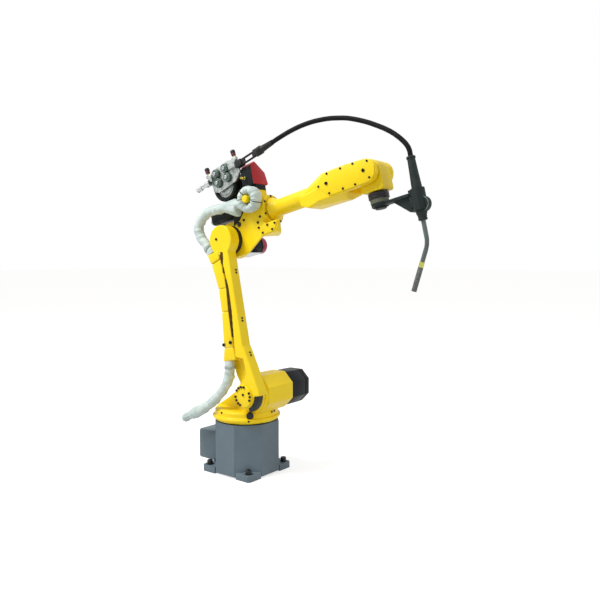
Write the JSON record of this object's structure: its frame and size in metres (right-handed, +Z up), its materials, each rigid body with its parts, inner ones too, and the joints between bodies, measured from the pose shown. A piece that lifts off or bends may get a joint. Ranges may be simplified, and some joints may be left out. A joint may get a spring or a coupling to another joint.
{
  "type": "industrial robot arm",
  "caption": "Six-axis welding robot arm on an octagonal floor pedestal, with a wire feeder on the elbow, hose sleeves along the arm and a swan-neck torch on the wrist.",
  "frame": {"origin": "on the floor, under the first axis, at the centre of the anchor holes", "axes": "+Z up along the first axis, +X towards the arm's front, +Y to the arm's left"},
  "size_m": [1.3535, 0.4517, 1.7532],
  "materials": {
    "pedestal_paint": "satin",
    "arm_paint": "satin",
    "motor_black": "satin",
    "black_plastic": "matte",
    "hose_sleeve": "coated cloth",
    "feeder_steel": "machined",
    "torch_dark": "matte",
    "cable_rubber": "matte",
    "cap_red": "satin",
    "feeder_red": "satin",
    "band_brass": "turned"
  },
  "bodies": {
    "base": {"pedestal": "pedestal_paint", "connector_box": "pedestal_paint", "connector_panel": "pedestal_paint"},
    "turret": {"turret_casting": "arm_paint", "j2_motor": "motor_black"},
    "lower_arm": {"lower_arm_casting": "arm_paint", "j2_hub_cap": "arm_paint", "arm_end_plug": "motor_black", "cable_guide": "arm_paint", "hose_clamps": "black_plastic", "lower_hose": "hose_sleeve", "upper_hose": "hose_sleeve"},
    "upper_arm": {"j3_casting": "arm_paint", "j3_side_cover": "arm_paint", "j3_motor": "motor_black", "j3_motor_cap": "cap_red", "j4_motor": "motor_black", "wrist_motors": "motor_black", "hose_wrap": "hose_sleeve", "wrap_post": "arm_paint", "feeder_base": "motor_black", "feeder_gear_housing": "motor_black", "feeder_motor": "motor_black", "feeder_cover": "feeder_red", "drive_plate": "feeder_steel", "drive_rolls": "feeder_steel", "pressure_arms": "feeder_steel", "pressure_knobs": "black_plastic", "wire_inlet": "feeder_steel", "wire_outlet": "black_plastic", "cable_connector": "black_plastic", "torch_cable_rear": "cable_rubber"},
    "forearm": {"forearm_casting": "arm_paint", "side_covers": "arm_paint", "torch_cable_middle": "cable_rubber"},
    "wrist": {"wrist_block": "arm_paint", "torch_cable_front": "cable_rubber"},
    "tool": {"tool_flange": "motor_black", "torch_adaptor": "torch_dark", "torch_bracket": "torch_dark", "torch_clamp": "torch_dark", "torch_handle": "torch_dark", "torch_neck": "torch_dark", "neck_band": "band_brass", "gas_nozzle": "torch_dark"}
  },
  "joints": [
    {"name": "j1_turn", "type": "hinge", "parent": "base", "child": "turret", "pos_m": [0, 0, 0], "axis": [0, 0, 1], "range_deg": [-170, 170]},
    {"name": "j2_shoulder", "type": "hinge", "parent": "turret", "child": "lower_arm", "pos_m": [0.135, 0, 0.432], "axis": [0, 1, 0], "range_deg": [-45, 55], "deforming": ["lower_hose"]},
    {"name": "j3_elbow", "type": "hinge", "parent": "lower_arm", "child": "upper_arm", "pos_m": [-0.02285, 0, 1.20097], "axis": [0, -1, 0], "range_deg": [-50, 70], "deforming": ["upper_hose"]},
    {"name": "j4_roll", "type": "hinge", "parent": "upper_arm", "child": "forearm", "pos_m": [-0.04534, 0, 1.2984], "axis": [0.9744, 0, 0.225], "range_deg": [-150, 150], "deforming": ["torch_cable_rear"]},
    {"name": "j5_bend", "type": "hinge", "parent": "forearm", "child": "wrist", "pos_m": [0.77313, 0, 1.48736], "axis": [0, -1, 0], "range_deg": [-35, 90], "deforming": ["torch_cable_middle"]},
    {"name": "j6_twist", "type": "hinge", "parent": "wrist", "child": "tool", "pos_m": [0.77313, 0, 1.48736], "axis": [0.225, 0, -0.9744], "range_deg": [-120, 120], "deforming": ["torch_cable_front"]}
  ]
}
